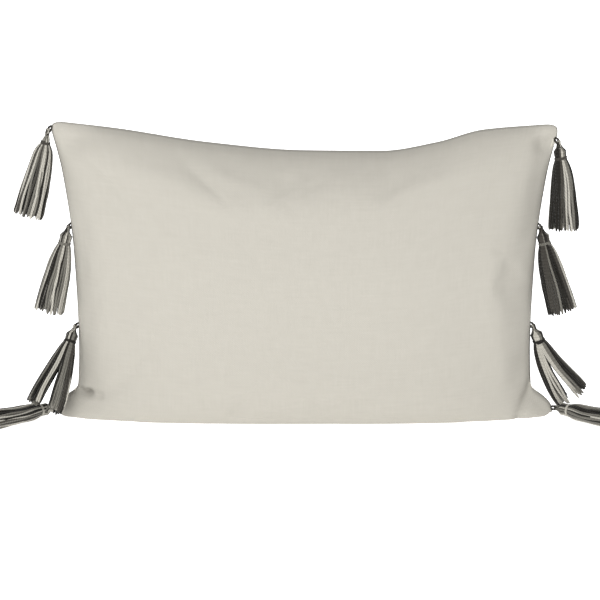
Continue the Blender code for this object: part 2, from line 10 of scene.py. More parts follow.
import bpy
import numpy as np
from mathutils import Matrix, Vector


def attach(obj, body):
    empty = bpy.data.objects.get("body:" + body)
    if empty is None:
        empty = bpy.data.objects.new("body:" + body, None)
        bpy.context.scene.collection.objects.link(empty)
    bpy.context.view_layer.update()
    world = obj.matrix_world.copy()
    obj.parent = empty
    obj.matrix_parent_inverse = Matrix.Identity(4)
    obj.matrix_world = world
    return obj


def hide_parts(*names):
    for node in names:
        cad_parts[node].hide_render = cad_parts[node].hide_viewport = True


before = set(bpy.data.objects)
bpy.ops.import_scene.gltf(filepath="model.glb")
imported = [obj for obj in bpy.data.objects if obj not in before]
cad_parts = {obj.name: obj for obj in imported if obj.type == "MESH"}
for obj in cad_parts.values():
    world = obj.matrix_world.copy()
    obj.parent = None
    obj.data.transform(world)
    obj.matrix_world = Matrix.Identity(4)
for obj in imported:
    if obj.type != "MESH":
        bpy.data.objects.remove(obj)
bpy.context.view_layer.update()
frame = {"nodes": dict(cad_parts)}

# %% [markdown]
# ## Camera, floor and light
# A pillow on a shop's page is lit by big, soft sources, so that it has hardly any shadow. A long lens a
# little above the pillow keeps its upright edges upright. The floor and the air round it are the same
# near white, and a large lamp on the left leaves the right-hand side slightly darker.

# %% Set the camera
CAMERA_DISTANCE = 2.20
CAMERA_RISE = math.radians(12.0)
LENS_PER_METRE = 36.0 / 0.596  # millimetres of lens, for each metre of distance, that frame 0.596 m

aim = Vector((-0.0045, 0.0, 0.1185))
camera = bpy.data.objects.new("camera", bpy.data.cameras.new("camera"))
camera.location = aim + Vector((0, -math.cos(CAMERA_RISE), math.sin(CAMERA_RISE))) * CAMERA_DISTANCE
camera.rotation_euler = (math.pi / 2 - CAMERA_RISE, 0, 0)
camera.data.lens = LENS_PER_METRE * CAMERA_DISTANCE
bpy.context.scene.collection.objects.link(camera)
bpy.context.scene.camera = camera
bpy.context.scene.view_settings.view_transform = "Standard"


# %% [markdown]
# The floor glows a little, as a light table does, so that the shadow and the underside stay bright.

# %% Lay the floor
def new_material(name, colour, roughness):
    """A material with its Principled shader's plain colour and roughness set."""
    made = bpy.data.materials.new(name)
    made.use_nodes = True
    shader = made.node_tree.nodes["Principled BSDF"]
    shader.inputs["Base Color"].default_value = (*colour, 1)
    shader.inputs["Roughness"].default_value = roughness
    return made


bpy.ops.object.select_all(action="DESELECT")
bpy.ops.mesh.primitive_plane_add(size=30)
floor = bpy.context.object
floor.name = "floor"
white_floor = new_material("white floor", (0.92, 0.92, 0.92), 0.9)
lit = white_floor.node_tree.nodes["Principled BSDF"].inputs
lit["Emission Color"].default_value = (1, 1, 1, 1)  # a light table: it lifts the shadow and the underside
lit["Emission Strength"].default_value = 1.0
floor.data.materials.append(white_floor)


# %% [markdown]
# Two soft lamps give the form. The room lights it from all round, and is dimmer high up at the sides.

# %% Hang the lamps
def add_lamp(name, place, towards, size, power):
    lamp = bpy.data.objects.new(name, bpy.data.lights.new(name, "AREA"))
    lamp.location = place
    lamp.rotation_euler = (Vector(towards) - Vector(place)).to_track_quat("-Z", "Y").to_euler()
    lamp.data.size = size
    lamp.data.energy = power
    bpy.context.scene.collection.objects.link(lamp)


add_lamp("front lamp", (-0.50, -2.4, 0.30), (0, 0, 0.10), 0.9, 30)
add_lamp("upper lamp", (-0.5, -1.7, 1.8), (0, 0, 0.22), 0.9, 28)
world = bpy.data.worlds.new("bright room")
bpy.context.scene.world = world
world.use_nodes = True
air = world.node_tree
# The room is white all round at eye level, and dimmer high up on the left and on the right
way = air.nodes.new("ShaderNodeSeparateXYZ")
air.links.new(air.nodes.new("ShaderNodeTexCoord").outputs["Generated"], way.inputs[0])
high = air.nodes.new("ShaderNodeMapRange")
air.links.new(way.outputs["Z"], high.inputs["Value"])
high.inputs["From Min"].default_value, high.inputs["From Max"].default_value = 0.14, 0.36
sideways = air.nodes.new("ShaderNodeMath")
sideways.operation = "MULTIPLY"
air.links.new(way.outputs["X"], sideways.inputs[0])
air.links.new(way.outputs["X"], sideways.inputs[1])
dimmed = air.nodes.new("ShaderNodeMath")
dimmed.operation = "MULTIPLY"
air.links.new(high.outputs["Result"], dimmed.inputs[0])
air.links.new(sideways.outputs[0], dimmed.inputs[1])
level = air.nodes.new("ShaderNodeMath")
level.operation = "MULTIPLY_ADD"
air.links.new(dimmed.outputs[0], level.inputs[0])
level.inputs[1].default_value, level.inputs[2].default_value = -0.75, 1.0
air.links.new(level.outputs[0], air.nodes["Background"].inputs["Color"])
air.nodes["Background"].inputs["Strength"].default_value = 1.02

# %% [markdown]
# ## The shape of a stuffed pillow
# Two flat panels, sewn together round the edge, can't swell without drawing in. The middle of each side
# moves inwards and the corners stay out as points. These few numbers say how far. The outline is that of
# the engineering model, apart from the two bottom corners, which are turned out here as ears.

# %% Sizes of the pillow
WIDTH, HEIGHT, THICKNESS = 0.500, 0.298, 0.132
CUT_WIDTH, CUT_HEIGHT = 0.508, 0.305
SIDE_DRAW_IN, TOP_SAG = 0.025, 0.030
SEAM_RISE = 0.009  # the bottom seam is drawn up between the two rolls that the pillow stands on
ROLL = 0.028
ZIP_END = 0.2038
# The top edge: (share of the half width, share of TOP_SAG). A side: (share of the height, of SIDE_DRAW_IN)
TOP_EDGE = ((-1, 0), (-0.74, 0.25), (-0.38, 0.71), (0, 0.98), (0.3, 1.0), (0.52, 0.71), (0.7, 0.3), (1, 0.1))
SIDE_EDGE = ((0, 0), (0.04, 0.45), (0.09, 0.93), (0.25, 1.0), (0.55, 0.88), (0.82, 0.5), (1, 0))


def smooth_through(points, at):
    """Values at an array of positions, on a smooth curve through (position, value) points."""
    xs, ys = (np.array(column, float) for column in zip(*points))
    step, rise = np.diff(xs), np.diff(ys) / np.diff(xs)
    turn = rise[:-1] * rise[1:]
    safe = np.where(turn > 0, rise[:-1] + rise[1:], 1)
    slope = np.concatenate([rise[:1], np.where(turn > 0, 2 * turn / safe, 0), rise[-1:]])
    at = np.clip(np.asarray(at, float), xs[0], xs[-1])
    i = np.clip(np.searchsorted(xs, at, side="right") - 1, 0, len(step) - 1)
    t = (at - xs[i]) / step[i]
    value = ys[i] * (1 + 2 * t) * (1 - t) ** 2 + ys[i + 1] * t * t * (3 - 2 * t)
    return value + step[i] * (slope[i] * t * (1 - t) ** 2 + slope[i + 1] * t * t * (t - 1))


EAR_EDGE = ((0, 0), (0.024, 0.06), (0.046, 0.24), (0.068, 0.56), (0.09, 0.93), (0.25, 1.0)) + SIDE_EDGE[4:]


def ear_edge(side, up):
    """The side's seam with its bottom corner turned out as an ear, under a fold."""
    return side * (WIDTH / 2 - SIDE_DRAW_IN * smooth_through(EAR_EDGE, up))


def bottom_edge(across):
    beyond_zip = np.clip((np.abs(across) * WIDTH / 2 - ZIP_END) / (WIDTH / 2 - ZIP_END), 0, None)
    return SEAM_RISE * (1 - 0.3 * beyond_zip ** 2)


def top_edge(across):
    return HEIGHT - TOP_SAG * smooth_through(TOP_EDGE, across)


def side_edge(side, up):
    return side * (WIDTH / 2 - SIDE_DRAW_IN * smooth_through(SIDE_EDGE, up))


print("outline: middle width", round(2000 * side_edge(1, 0.4).item()), "mm")

# %% [markdown]
# ## Swelling the cover
# The cover starts as it is sewn: two flat panels joined all the way round, as a grid and its mirror
# image. Blender's cloth solver then blows it up from inside. What that gives, and no formula does, is
# the way the slack gathers into soft puckers along the seams and towards the corners. The swollen shape
# is split into its broad form and its puckers. Only the puckers are kept, softened, and fade out by the
# seams. The broad form below is a formula that follows the outline above.

# %% Sew two flat panels together
COLUMNS, ROWS = 116, 70  # cells of cloth across and up a panel, about 4.4 mm each
CORNER_ROUND = 0.012  # a turned-out corner is never quite sharp


def grid_of(obj, columns, rows):
    """The column and row of each vertex of a flat grid object."""
    flat = np.empty(3 * len(obj.data.vertices))
    obj.data.vertices.foreach_get("co", flat)
    flat = flat.reshape(-1, 3)
    i = np.rint((flat[:, 0] + 0.5) * columns).astype(int)
    j = np.rint((flat[:, 1] + 0.5) * rows).astype(int)
    return i, j


def set_points(obj, points):
    obj.data.vertices.foreach_set("co", np.asarray(points, float).ravel())
    obj.data.update()


def get_points(data):
    points = np.empty(3 * len(data.vertices))
    data.vertices.foreach_get("co", points)
    return points.reshape(-1, 3)


def rounded_corner(x, z):
    """The x and z shifts that round off the corners of the cut cloth."""
    from_side, from_end = CUT_WIDTH / 2 - np.abs(x), CUT_HEIGHT / 2 - np.abs(z - CUT_HEIGHT / 2)
    p, q = np.clip(CORNER_ROUND - from_side, 0, None), np.clip(CORNER_ROUND - from_end, 0, None)
    length = np.hypot(p, q) + 1e-9
    share = np.where((p > 0) & (q > 0), np.maximum(p, q) / length, 1.0)
    return -np.sign(x) * p * (1 - share), -np.sign(z - CUT_HEIGHT / 2) * q * (1 - share)


bpy.ops.object.select_all(action="DESELECT")
bpy.ops.mesh.primitive_grid_add(x_subdivisions=COLUMNS, y_subdivisions=ROWS, size=1)
envelope = bpy.context.object
envelope.name = "envelope"
column, row = grid_of(envelope, COLUMNS, ROWS)
cut_x, cut_z = (column / COLUMNS - 0.5) * CUT_WIDTH, row / ROWS * CUT_HEIGHT
shift_x, shift_z = rounded_corner(cut_x, cut_z)
lens = np.sqrt(np.sin(math.pi * column / COLUMNS).clip(0) * np.sin(math.pi * row / ROWS).clip(0))
lens[(column % COLUMNS == 0) | (row % ROWS == 0)] = 0
set_points(envelope, np.column_stack([cut_x + shift_x, -0.006 * lens, cut_z + shift_z]))
mirror = envelope.modifiers.new("other panel", "MIRROR")
mirror.use_axis = (False, True, False)
mirror.merge_threshold = 1e-5
bpy.ops.object.modifier_apply(modifier=mirror.name)
bpy.ops.object.mode_set(mode="EDIT")
bpy.ops.mesh.select_all(action="SELECT")
bpy.ops.mesh.normals_make_consistent(inside=False)
bpy.ops.object.mode_set(mode="OBJECT")
print("envelope:", len(envelope.data.vertices), "points")

# %% [markdown]
# A short run is enough. The solver's own thickness isn't used, only how the slack gathers.

# %% Blow it up with the cloth solver
PUFF_FRAMES = 27
sewn_flat = get_points(envelope.data)


def swollen_points(obj):
    """The points of the envelope after the cloth solver has filled it."""
    cloth = obj.modifiers.new("filling", "CLOTH")
    cloth.settings.quality = 5
    cloth.settings.mass = 0.15
    cloth.settings.tension_stiffness = 25
    cloth.settings.compression_stiffness = 25
    cloth.settings.shear_stiffness = 8
    cloth.settings.bending_stiffness = 0.4
    cloth.settings.use_pressure = True
    cloth.settings.uniform_pressure_force = 3.0
    cloth.settings.effector_weights.gravity = 0
    cloth.collision_settings.use_collision = False
    cloth.collision_settings.use_self_collision = False
    cloth.point_cache.frame_end = PUFF_FRAMES
    for step in range(1, PUFF_FRAMES + 1):
        bpy.context.scene.frame_set(step)
    points = get_points(obj.evaluated_get(bpy.context.evaluated_depsgraph_get()).data)
    obj.modifiers.remove(cloth)
    bpy.context.scene.frame_set(1)
    return points


swollen = swollen_points(envelope)
print("swollen thickness:", round(1000 * np.ptp(swollen[:, 1])), "mm")

# %% [markdown]
# A pucker is what is left of the swollen cloth when a soft average of it is taken away.

# %% Take the puckers off the broad form
PUCKER_BLUR = 5.0  # cells. What is wider than this is form, and what is narrower is a pucker
PUCKER_GAIN = 0.65


def as_panel(points, flat, half):
    """One panel's points as a (column, row) grid. half is -1 for the back and 1 for the front."""
    grid = np.zeros((COLUMNS + 1, ROWS + 1, 3))
    own = half * flat[:, 1] >= -1e-7
    grid[sewn_column[own], sewn_row[own]] = points[own]
    return grid


def blurred(grid, cells):
    """A soft average over the grid, mirrored at its edges."""
    reach = int(3 * cells)
    weights = np.exp(-0.5 * (np.arange(-reach, reach + 1) / cells) ** 2)
    weights /= weights.sum()
    for axis in (0, 1):
        edge = [(0, 0)] * grid.ndim
        edge[axis] = (reach, reach)
        wide = np.pad(grid, edge, mode="reflect", reflect_type="odd")
        size = grid.shape[axis]
        grid = sum(w * np.take(wide, range(k, k + size), axis=axis) for k, w in enumerate(weights))
    return grid


# The mirrored panel lies over the first, so a point's column and row are those of its place on the cut cloth
cell_at = {
    (round(x, 6), round(z, 6)): cell
    for x, z, cell in zip(cut_x + shift_x, cut_z + shift_z, zip(column, row))
}
sewn_cells = [cell_at[(round(x, 6), round(z, 6))] for x, _, z in sewn_flat]
sewn_column, sewn_row = np.array(sewn_cells).T
puckers = {}
for half in (-1, 1):
    panel = as_panel(swollen, sewn_flat, half)
    puckers[half] = (panel - blurred(panel, PUCKER_BLUR)) * PUCKER_GAIN
print("deepest pucker:", round(1000 * np.abs(puckers[-1][..., 1]).max(), 1), "mm")

# %% [markdown]
# ## Laying the puckers on the pillow's form
# The broad form is a surface filled in between the four edges, bulged out to the pillow's thickness. It
# is full and round near the floor, where the filling settles, and flatter towards the top seam. At the
# floor it hangs into two rolls and is pressed flat. Last come the folds that handling left: a soft dent
# in each top corner, and a crease across each bottom corner, where the cloth turns out into an ear.

# %% Folds and dents in the back panel
# Each fold: points (x, z) along it, how deep, and how wide, in metres
FOLDS = (
    (((-0.226, 0.280), (-0.216, 0.283)), 0.0042, 0.012),
    (((0.232, 0.277), (0.243, 0.275)), 0.0070, 0.0085),
    (((0.233, 0.268), (0.228, 0.240), (0.223, 0.195)), 0.0034, 0.010),
    (((-0.240, 0.0290), (-0.226, 0.0270), (-0.214, 0.0272)), 0.0100, 0.0032),
    (((-0.214, 0.0272), (-0.204, 0.0262)), 0.0050, 0.0044),
    (((-0.208, 0.036), (-0.199, 0.032)), 0.0020, 0.008),
    (((0.228, 0.038), (0.220, 0.022), (0.213, 0.003)), 0.0056, 0.0042),
    (((0.216, 0.062), (0.209, 0.045)), 0.0022, 0.009),
)


def distance_to_line(x, z, line):
    """How far each point is from a line of (x, z) points."""
    nearest = np.full(x.shape, 1e9)
    for (ax, az), (bx, bz) in zip(line, line[1:]):
        along = ((x - ax) * (bx - ax) + (z - az) * (bz - az)) / ((bx - ax) ** 2 + (bz - az) ** 2)
        along = np.clip(along, 0, 1)
        nearest = np.minimum(nearest, np.hypot(x - ax - along * (bx - ax), z - az - along * (bz - az)))
    return nearest


def folded_in(points, half, spread=1.0):
    """The y of each point once the folds have pushed the back inwards."""
    x, y, z = (points[..., axis] for axis in range(3))
    if half > 0:
        return y
    for line, depth, width in FOLDS:
        away = distance_to_line(x, z, line)
        y = y + np.clip(-y / 0.006, 0, 1) * depth * spread * np.exp(-((away / (width * spread)) ** 2))
    return np.minimum(y, -SEAM_HALF_GAP)


# %% [markdown]
# The two halves share one form. The front also stands a little proud of the seam at the top.

# %% The form of each half
PROUD_FRONT = 0.0030  # how far the front stands over the top seam
SEAM_HALF_GAP = 0.0001
CLOTH_WALL = 0.0006
FLOOR_LIFT = 0.0006  # the cloth stays this far off the floor
PUCKER_FADE = 0.040  # the puckers fade out over this far from the seam


def broad_form(half, spread=0.0):
    """The (column, row) grid of one half. spread widens the folds, and 0 leaves them out."""
    u, up = np.meshgrid(np.linspace(0, 1, COLUMNS + 1), np.linspace(0, 1, ROWS + 1), indexing="ij")
    across, angle = 2 * u - 1, np.arccos(1 - 2 * up)
    x = (1 - u) * ear_edge(-1, up) + u * ear_edge(1, up)
    low, high = bottom_edge(across), top_edge(across)
    left = bottom_edge(-1) + (top_edge(-1) - bottom_edge(-1)) * up
    right = bottom_edge(1) + (top_edge(1) - bottom_edge(1)) * up
    z = (1 - up) * low + up * high + (1 - u) * left + u * right
    z -= (1 - up) * ((1 - u) * low[0, 0] + u * low[-1, 0]) + up * ((1 - u) * high[0, 0] + u * high[-1, 0])
    full = (1 - np.abs(across) ** 3).clip(0) ** 0.6
    rise = np.sin(angle).clip(0) ** np.where(angle < math.pi / 2, 0.75, 1.05)
    y = THICKNESS / 2 * full * rise
    z -= 0.0045 * np.abs(across) ** 12 * (1 - up) ** 8  # the ears drop to the floor
    ends = (1 - np.abs(across) ** 6).clip(0) ** 0.4
    off_seam = np.minimum(1, angle / math.radians(12))
    z -= ROLL * ends * off_seam * np.cos(np.minimum(angle, math.pi / 2)).clip(0)
    shift_x, shift_z = rounded_corner(across * CUT_WIDTH / 2, up * CUT_HEIGHT)
    shift_x, shift_z = shift_x * (0.35 + 0.65 * (up > 0.5)), shift_z * (up > 0.5)
    grid = np.stack([x + shift_x, half * y, z + shift_z], axis=-1)
    edge = np.minimum(np.minimum(u, 1 - u) * CUT_WIDTH, np.minimum(up, 1 - up) * CUT_HEIGHT)
    grid += puckers[half] * np.clip(edge / PUCKER_FADE, 0, 1)[..., None] ** 1.5
    grid[..., 1] = folded_in(grid, half, spread) if spread else grid[..., 1]
    if half > 0:  # the front stands a little proud of the top seam near both corners
        from_top = (1 - up) * CUT_HEIGHT
        proud = np.exp(-((x + 0.208) / 0.022) ** 2) + 0.8 * np.exp(-((x - 0.170) / 0.018) ** 2)
        near_top = (1 - np.exp(-((from_top / 0.003) ** 2))) * np.exp(-((from_top / 0.016) ** 2))
        grid[..., 2] += (PROUD_FRONT * proud - 0.0012) * near_top
        from_side = (1 - np.abs(across)) * CUT_WIDTH / 2
        near_side = (1 - np.exp(-((from_side / 0.003) ** 2))) * np.exp(-((from_side / 0.016) ** 2))
        grid[..., 0] -= np.sign(across) * 0.0012 * near_side
    y = half * grid[..., 1]
    grid[..., 1] = half * (SEAM_HALF_GAP + np.maximum(y, 0) * (1 - SEAM_HALF_GAP / (THICKNESS / 2)))
    z = grid[..., 2]
    rolled = 0.0012 * np.exp(-((z - FLOOR_LIFT) / 0.0035) ** 2) * (z > FLOOR_LIFT)
    grid[..., 2] = FLOOR_LIFT + np.where(z > FLOOR_LIFT, z - FLOOR_LIFT, 0) + rolled
    return grid


forms = {half: broad_form(half) for half in (-1, 1)}
print("back panel reaches y", round(1000 * forms[-1][..., 1].min(), 1), "mm")


# %% [markdown]
# Each panel is a grid with a map in metres of flat cloth. The folds are pressed in again once it is
# smooth.

# %% Make the two panels
def grid_piece(name, form, half):
    """A smooth grid object that takes up a form and faces outwards, with each vertex's column and row."""
    bpy.ops.object.select_all(action="DESELECT")
    bpy.ops.mesh.primitive_grid_add(x_subdivisions=COLUMNS, y_subdivisions=ROWS, size=1, calc_uvs=True)
    piece = bpy.context.object
    piece.name = name
    i, j = grid_of(piece, COLUMNS, ROWS)
    set_points(piece, form[i, j])
    if sum(face.normal.y * face.area for face in piece.data.polygons) * half < 0:
        piece.data.flip_normals()
    bpy.ops.object.shade_smooth()
    return piece, i, j


def build_panel(name, half):
    """A panel as its own object, with a UV map in metres of flat cloth, a wall and one subdivision."""
    panel, i, j = grid_piece(name, forms[half], half)
    flat = np.column_stack([i / COLUMNS * CUT_WIDTH, j / ROWS * CUT_HEIGHT])
    corner_vertex = np.empty(len(panel.data.loops), int)
    panel.data.loops.foreach_get("vertex_index", corner_vertex)
    panel.data.uv_layers.active.data.foreach_set("uv", flat[corner_vertex].ravel())
    smooth = panel.modifiers.new("smooth", "SUBSURF")
    smooth.levels = smooth.render_levels = 1
    wall = panel.modifiers.new("cloth", "SOLIDIFY")
    wall.thickness = CLOTH_WALL
    wall.offset = -1
    bpy.ops.object.modifier_apply(modifier="smooth")
    points = get_points(panel.data)
    points[:, 1] = folded_in(points, half)
    set_points(panel, points)
    bpy.ops.object.modifier_apply(modifier="cloth")
    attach(panel, "pillow")
    return panel


back_panel = build_panel("back_panel_cloth", -1)
front_panel = build_panel("front_panel_cloth", 1)
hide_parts("cover_back_panel")
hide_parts("cover_front_panel")
bpy.data.objects.remove(envelope)
print("back panel:", len(back_panel.data.polygons), "faces")

# %% [markdown]
# ## The insert
# Under the cover is a smaller pillow of ticking, stuffed with fibre. It pushes against the cover, so its
# faces follow every dent in it. It stops short of the seam, where the cover's corners are left empty.

# %% Make the insert
def insert_form(half, inset, depth):
    """The (column, row) grid of half the insert, this far inside the edge and the face of the cover."""
    u, up = np.meshgrid(np.linspace(0, 1, COLUMNS + 1), np.linspace(0, 1, ROWS + 1), indexing="ij")
    pull_u, pull_up = inset / CUT_WIDTH, inset / CUT_HEIGHT
    at_u, at_up = (pull_u + u * (1 - 2 * pull_u)) * COLUMNS, (pull_up + up * (1 - 2 * pull_up)) * ROWS
    i, j = np.minimum(at_u.astype(int), COLUMNS - 1), np.minimum(at_up.astype(int), ROWS - 1)
    p, q = (at_u - i)[..., None], (at_up - j)[..., None]
    face = dented[half]
    grid = (face[i, j] * (1 - p) + face[i + 1, j] * p) * (1 - q)
    grid += (face[i, j + 1] * (1 - p) + face[i + 1, j + 1] * p) * q
    edge = np.minimum(np.minimum(u, 1 - u) * CUT_WIDTH, np.minimum(up, 1 - up) * CUT_HEIGHT)
    rounded = (1 - np.exp(-edge / 0.009)) * np.clip(edge / 0.002, 0, 1)
    grid[..., 1] = half * (0.0002 + np.maximum(half * grid[..., 1] - depth, 0.0005) * rounded)
    grid[..., 2] += depth * np.exp(-((grid[..., 2] / 0.012) ** 2))
    at_seam = np.exp(-((up * CUT_HEIGHT / 0.010) ** 2))  # the bottom seam stays above the zip
    grid[..., 2] += at_seam * (np.maximum(grid[..., 2], SEAM_RISE + inset) - grid[..., 2])
    return grid


def build_half(name, half, inset, depth, wall):
    """An object for one half of the insert, as a sheet with a wall."""
    piece = grid_piece(name, insert_form(half, inset, depth), half)[0]
    cloth = piece.modifiers.new("ticking", "SOLIDIFY")
    cloth.thickness = wall
    cloth.offset = -1
    bpy.ops.object.modifier_apply(modifier=cloth.name)
    return piece


INSERT_INSET, TICKING_DEPTH, TICKING_WALL = 0.013, 0.0011, 0.0004
FIBRE_INSET, FIBRE_DEPTH = INSERT_INSET + 0.004, 0.0030
dented = {half: broad_form(half, spread=1.25) for half in (-1, 1)}
insert_back = build_half("insert_ticking_back", -1, INSERT_INSET, TICKING_DEPTH, TICKING_WALL)
insert_front = build_half("insert_ticking_front", 1, INSERT_INSET, TICKING_DEPTH, TICKING_WALL)
insert_fibre = build_half("insert_fibre", -1, FIBRE_INSET, FIBRE_DEPTH, 0.0)
fibre_front = build_half("insert_fibre_front", 1, FIBRE_INSET, FIBRE_DEPTH, 0.0)
bpy.ops.object.select_all(action="DESELECT")
insert_fibre.select_set(True)
fibre_front.select_set(True)
bpy.context.view_layer.objects.active = insert_fibre
bpy.ops.object.join()
bpy.ops.object.mode_set(mode="EDIT")
bpy.ops.mesh.select_all(action="SELECT")
bpy.ops.mesh.remove_doubles(threshold=0.0005)
bpy.ops.mesh.normals_make_consistent(inside=False)
bpy.ops.object.mode_set(mode="OBJECT")
for piece, node, slot in (
    (insert_back, "insert_shell_back", "white_ticking"),
    (insert_front, "insert_shell_front", "white_ticking"),
    (insert_fibre, "insert_fill", "polyester_fibre"),
):
    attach(piece, "pillow")
    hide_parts(node)
print("insert:", [round(1000 * size) for size in insert_back.dimensions], "mm for one half")

# %% [markdown]
# ## Cloth that shows its threads
# Plain cotton is a grid of threads that pass over and under each other. Seen from arm's length it is a
# fine, slightly uneven texture. One shader group makes it for every cloth here: it reads the map of the
# flat cloth, so the threads bend with the panel and never swim across it.

# %% Helpers for shader nodes
def add_node(tree, kind, settings=None, **links):
    """A node, with its settings, and its inputs either set to values or linked to other sockets."""
    node = tree.nodes.new(kind)
    for key, value in (settings or {}).items():
        setattr(node, key, value)
    for key, value in links.items():
        numbered = key[0] == "i" and key[1:].isdigit()
        socket = node.inputs[int(key[1:]) if numbered else key.replace("_", " ")]
        if isinstance(value, bpy.types.NodeSocket):
            tree.links.new(value, socket)
        else:
            socket.default_value = value
    return node


def maths(tree, operation, a, b=0.0, c=0.0):
    return add_node(tree, "ShaderNodeMath", {"operation": operation}, i0=a, i1=b, i2=c).outputs[0]


def new_group(name, inputs, outputs):
    """An empty shader group. inputs and outputs are (name, socket kind, default) and (name, socket kind)."""
    tree = bpy.data.node_groups.new(name, "ShaderNodeTree")
    for title, kind, default in inputs:
        socket = tree.interface.new_socket(title, in_out="INPUT", socket_type="NodeSocket" + kind)
        if default is not None:
            socket.default_value = default
    for title, kind in outputs:
        tree.interface.new_socket(title, in_out="OUTPUT", socket_type="NodeSocket" + kind)
    return tree, tree.nodes.new("NodeGroupInput").outputs, tree.nodes.new("NodeGroupOutput").inputs


def use_group(tree, group, **inputs):
    return add_node(tree, "ShaderNodeGroup", {"node_tree": group}, **inputs).outputs


# %% [markdown]
# Two sine waves cross as warp and weft, and long thin noise makes some threads thicker.

# %% Shader group: woven threads
weave_tree, given, result = new_group(
    "woven threads",
    [("Place", "Vector", None), ("Threads", "Float", 1100.0), ("Slub", "Float", 0.5)],
    [("Height", "Float"), ("Shade", "Float")],
)
place = add_node(weave_tree, "ShaderNodeSeparateXYZ", Vector=given["Place"]).outputs
drift = add_node(weave_tree, "ShaderNodeTexNoise", Vector=given["Place"], Scale=90.0, Detail=2.0)
drift = drift.outputs["Fac"]
turns = maths(weave_tree, "MULTIPLY", given["Threads"], math.pi)
warp = maths(weave_tree, "SINE", maths(weave_tree, "MULTIPLY", place["X"], turns))
weft = maths(weave_tree, "SINE", maths(weave_tree, "MULTIPLY", place["Y"], turns))
crossing = maths(weave_tree, "MULTIPLY", warp, weft)
over = maths(weave_tree, "MULTIPLY_ADD", crossing, 0.5, 0.5)
warp_slub = add_node(weave_tree, "ShaderNodeMapping", Vector=given["Place"], Scale=(900, 35, 1)).outputs[0]
warp_slub = add_node(weave_tree, "ShaderNodeTexNoise", Vector=warp_slub, Scale=1.0, Detail=1.0).outputs["Fac"]
weft_slub = add_node(weave_tree, "ShaderNodeMapping", Vector=given["Place"], Scale=(30, 700, 1)).outputs[0]
weft_slub = add_node(weave_tree, "ShaderNodeTexNoise", Vector=weft_slub, Scale=1.0, Detail=1.0).outputs["Fac"]
slubs = maths(weave_tree, "ADD", warp_slub, weft_slub)
uneven = maths(weave_tree, "MULTIPLY", maths(weave_tree, "SUBTRACT", slubs, 1.0), given["Slub"])
height = maths(weave_tree, "ADD", over, maths(weave_tree, "MULTIPLY", uneven, 2.0))
weave_tree.links.new(height, result["Height"])
# painted shade: the colour is lighter on the thread crossings and darker between them, on top of the real
# tone of thick and thin threads and a slow drift
shade = maths(weave_tree, "MULTIPLY_ADD", over, 0.05, maths(weave_tree, "MULTIPLY", uneven, 0.35))
shade = maths(weave_tree, "ADD", shade, maths(weave_tree, "MULTIPLY_ADD", drift, 0.05, -0.05))
weave_tree.links.new(shade, result["Shade"])


# %% [markdown]
# The group gives a height for the bump and a shade that is multiplied into the colour: painted shade, lighter
# where the threads cross over and darker where they dip under, and the threads' own uneven tone.

# %% Finish: plain cream cotton
def cloth_material(name, colour, threads, slub, bump, colour_node=None):
    """Woven cloth. Its colour is plain, or comes from colour_node(tree, place)."""
    made = new_material(name, colour, 0.92)
    tree = made.node_tree
    shader = tree.nodes["Principled BSDF"]
    place = add_node(tree, "ShaderNodeUVMap").outputs["UV"]
    woven = use_group(tree, weave_tree, Place=place, Threads=threads, Slub=slub)
    base = colour_node(tree, place) if colour_node else (*colour, 1)
    level = maths(tree, "ADD", woven["Shade"], 1.0)
    tint = add_node(tree, "ShaderNodeVectorMath", {"operation": "SCALE"}, i0=base if colour_node else colour)
    tree.links.new(level, tint.inputs["Scale"])
    tree.links.new(tint.outputs["Vector"], shader.inputs["Base Color"])
    relief = add_node(tree, "ShaderNodeBump", Height=woven["Height"], Strength=bump, Distance=0.00025)
    tree.links.new(relief.outputs["Normal"], shader.inputs["Normal"])
    shader.inputs["Specular IOR Level"].default_value = 0.2
    return made


cream_cotton = cloth_material("cream cotton", (0.292, 0.279, 0.247), 1100.0, 0.22, 0.35)
back_panel.data.materials.append(cream_cotton)

# %% [markdown]
# ## The patterned front
# The front faces away in most views, and only its edge peeps over the top seam: black and cream yarn. It
# is woven here as bands that run the length of the pillow. Solid stripes, rows of dashes, zigzags and
# rows of diamonds all come from two folded-up coordinates and a few comparisons.

# %% Shader group: woven bands
bands_tree, given, result = new_group("woven bands", [("Place", "Vector", None)], [("Dark", "Float")])
place = add_node(bands_tree, "ShaderNodeSeparateXYZ", Vector=given["Place"]).outputs
STEP = 0.0032  # the pattern moves in steps of one thick yarn
stepped = [maths(bands_tree, "SNAP", place[axis], STEP) for axis in ("X", "Y")]
from_middle = maths(bands_tree, "ABSOLUTE", maths(bands_tree, "SUBTRACT", stepped[1], CUT_HEIGHT / 2))


def folded(value, period):
    """A distance that runs up and down between 0 and half the period."""
    return maths(bands_tree, "PINGPONG", value, period / 2)


def within(value, centre, half_width):
    """1 where the value is within half_width of the centre."""
    offset = maths(bands_tree, "ABSOLUTE", maths(bands_tree, "SUBTRACT", value, centre))
    return maths(bands_tree, "LESS_THAN", offset, half_width)


upwards = maths(bands_tree, "MULTIPLY", from_middle, 1.1)
diamond = maths(bands_tree, "ADD", folded(stepped[0], 0.0508), upwards)
diamond_heart = maths(bands_tree, "LESS_THAN", diamond, 0.0115)
diamonds = maths(bands_tree, "MAXIMUM", within(diamond, 0.0254, 0.0030), diamond_heart)
diamonds = maths(bands_tree, "MULTIPLY", diamonds, maths(bands_tree, "LESS_THAN", from_middle, 0.0262))
lines = within(from_middle, 0.0335, 0.0026)
zigzag = maths(bands_tree, "SUBTRACT", from_middle, folded(stepped[0], 0.0254))
zigzag = maths(bands_tree, "MULTIPLY", within(zigzag, 0.0465, 0.0036), within(from_middle, 0.0535, 0.0110))
lines = maths(bands_tree, "MAXIMUM", lines, within(from_middle, 0.0725, 0.0026))
broad = within(from_middle, 0.0905, 0.0082)
dash = within(folded(stepped[0], 0.0127), 0.0, 0.0030)
dashes = maths(bands_tree, "MULTIPLY", dash, within(from_middle, 0.1075, 0.0024))
